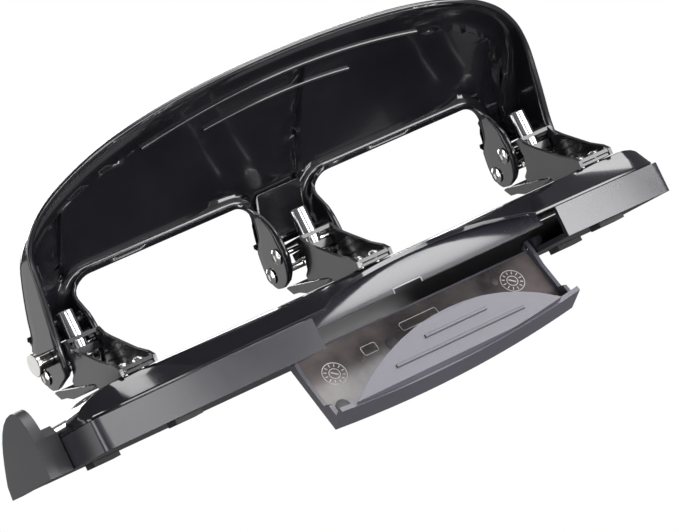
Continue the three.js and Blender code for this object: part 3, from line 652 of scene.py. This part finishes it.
# moulded marks on the floor: two dials, three ejector discs and two outlines
mark_grey = finish("mark_moulding", (0.5, 0.48, 0.47), (0.6, 0.58, 0.57), 0.3, 0.45,
                   grain=1500, mottle=60, depth=0.02)
pad_grey = finish("ejector_mark", (0.05, 0.046, 0.05), (0.08, 0.075, 0.08), 0.4, 0.6,
                  grain=1500, mottle=60, depth=0.02)
MARK_TOP = FLOOR_TOP + 0.16
ARROW_ANGLE = 2.4
for name, x, y in (("left", -29.7, -33.8), ("right", 58.7, -30.1)):
    for part, radius in (("outer", 4.9), ("inner", 2.2)):
        ring = [on_tray(x + radius * math.cos(a), y + radius * math.sin(a), MARK_TOP)
                for a in (2 * math.pi * k / 40 for k in range(40))]
        rolled("date_wheel_" + name + "_" + part, ring, 0.16, mark_grey,
               "chip_tray_body", True)
    for k in range(12):
        a = 2 * math.pi * k / 12
        tick = [on_tray(x + r * math.cos(a), y + r * math.sin(a), MARK_TOP) for r in (3.1, 4.3)]
        rolled("date_tick_" + name + "_" + str(k), tick, 0.2, mark_grey,
               "chip_tray_body")
    arrow = [on_tray(x + r * math.cos(ARROW_ANGLE), y + r * math.sin(ARROW_ANGLE), MARK_TOP)
             for r in (-1.5, 1.5)]
    rolled("date_arrow_" + name, arrow, 0.26, mark_grey, "chip_tray_body")
for name, x, y, radius in (("front", -35.2, -47.4, 3), ("middle", -1.4, -32.4, 2.7),
                           ("side", 51.8, -27.3, 1.5)):
    turned("ejector_mark_" + name, ((radius, 0), (radius, 0.2), (radius - 0.2, 0.28)),
           on_tray(x, y, FLOOR_TOP + 0.1), tray_up, pad_grey, "chip_tray_body")
for name, x0, x1, y0, y1 in (("square", -14.2, -7.6, -32.6, -28.6),
                             ("strip", 5.8, 23.4, -29.9, -26.2)):
    corner = 0.9
    loop = []
    for cx, cy, start in ((x1 - corner, y1 - corner, 0), (x0 + corner, y1 - corner, 1),
                          (x0 + corner, y0 + corner, 2), (x1 - corner, y0 + corner, 3)):
        for k in range(6):
            a = (start + k / 5) * math.pi / 2
            loop.append(on_tray(cx + corner * math.cos(a), cy + corner * math.sin(a), FLOOR_TOP + 0.14))
    rolled("mark_outline_" + name, loop, 0.14, mark_grey, "chip_tray_body", True)

# two grip ribs raised on the half-moon panel
for name, x0, x1, y, z in (("upper", 1.1, 30.2, -44.0, 19.15),
                           ("lower", -15.2, 45.5, -49.05, 16.62)):
    line = [on_tray(x0 + (x1 - x0) * k / 12, y, z + FOOT + 0.15) for k in range(13)]
    rolled("grip_rib_" + name, line, 0.75, tray_plastic, "chip_tray_body")


# ---- Floor, world and lamps ----
# A pale floor well below the hanging tray, and large soft lamps whose
# reflections draw the bright edges of the black parts.
FLOOR_DROP = 0.3
floor_plane = bmesh.new()
bmesh.ops.create_grid(floor_plane, x_segments=2, y_segments=2, size=12)
stage_data = bpy.data.meshes.new("floor")
floor_plane.to_mesh(stage_data)
stage_floor = bpy.data.objects.new("floor", stage_data)
stage_floor.location.z = -FLOOR_DROP
scene.collection.objects.link(stage_floor)
pale = bpy.data.materials.new("pale_floor")
pale.use_nodes = True
pale_nodes, pale_links = pale.node_tree.nodes, pale.node_tree.links
pale_base = pale_nodes["Principled BSDF"]
pale_base.inputs["Base Color"].default_value = (0.12, 0.12, 0.125, 1)
pale_base.inputs["Roughness"].default_value = 0.8
seen = pale_nodes.new("ShaderNodeEmission")
path = pale_nodes.new("ShaderNodeLightPath")
choose = pale_nodes.new("ShaderNodeMixShader")
pale_links.new(path.outputs["Is Camera Ray"], choose.inputs[0])
pale_links.new(pale_base.outputs[0], choose.inputs[1])
pale_links.new(seen.outputs[0], choose.inputs[2])
pale_links.new(choose.outputs[0], pale_nodes["Material Output"].inputs["Surface"])
stage_data.materials.append(pale)
stage_floor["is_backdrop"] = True

world = bpy.data.worlds.new("studio")
scene.world = world
world.use_nodes = True
sky, sky_links = world.node_tree.nodes, world.node_tree.links
dim = sky["Background"]
dim.inputs["Color"].default_value = (0.95, 0.96, 1, 1)
dim.inputs["Strength"].default_value = 0.12
bright = sky.new("ShaderNodeBackground")
bright.inputs["Color"].default_value = (1, 1, 1, 1)
sky_path = sky.new("ShaderNodeLightPath")
sky_mix = sky.new("ShaderNodeMixShader")
sky_links.new(sky_path.outputs["Is Camera Ray"], sky_mix.inputs[0])
sky_links.new(dim.outputs[0], sky_mix.inputs[1])
sky_links.new(bright.outputs[0], sky_mix.inputs[2])
sky_links.new(sky_mix.outputs[0], sky["World Output"].inputs["Surface"])

for name, place, aim, size, power in (
    ("right front box", (1.05, -1.15, 0.1), (0, 0, 0.0), (1.0, 0.9), 24),
    ("left front box", (-0.2, -1.9, 0.35), (0, 0, 0.03), (0.5, 0.7), 7),
    ("high front box", (0.7, -0.6, 1.15), (0, 0, 0.02), (1.2, 1.0), 26),
    ("overhead box", (-0.3, 0.3, 1.3), (0, 0, 0.05), (0.9, 0.4), 9),
    ("low front strip", (-0.1, -1.0, -0.22), (0, 0, 0.07), (1.4, 0.12), 9),
    ("left strip", (-1.5, 0.15, 0.35), (0, 0, 0.05), (0.7, 1.2), 11),
    ("back left box", (-0.85, 1.35, 0.05), (0, 0, 0.05), (0.7, 0.7), 1.3),
    ("back box", (0.3, 1.4, 0.7), (0, 0, 0.06), (1.3, 0.5), 12),
):
    lamp_data = bpy.data.lights.new(name, "AREA")
    lamp_data.shape = "RECTANGLE"
    lamp_data.size, lamp_data.size_y = size
    lamp_data.energy = power
    lamp = bpy.data.objects.new(name, lamp_data)
    lamp.location = place
    lamp.rotation_euler = (Vector(aim) - Vector(place)).to_track_quat("-Z", "Y").to_euler()
    scene.collection.objects.link(lamp)
scene.view_settings.view_transform = "Standard"

low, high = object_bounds()
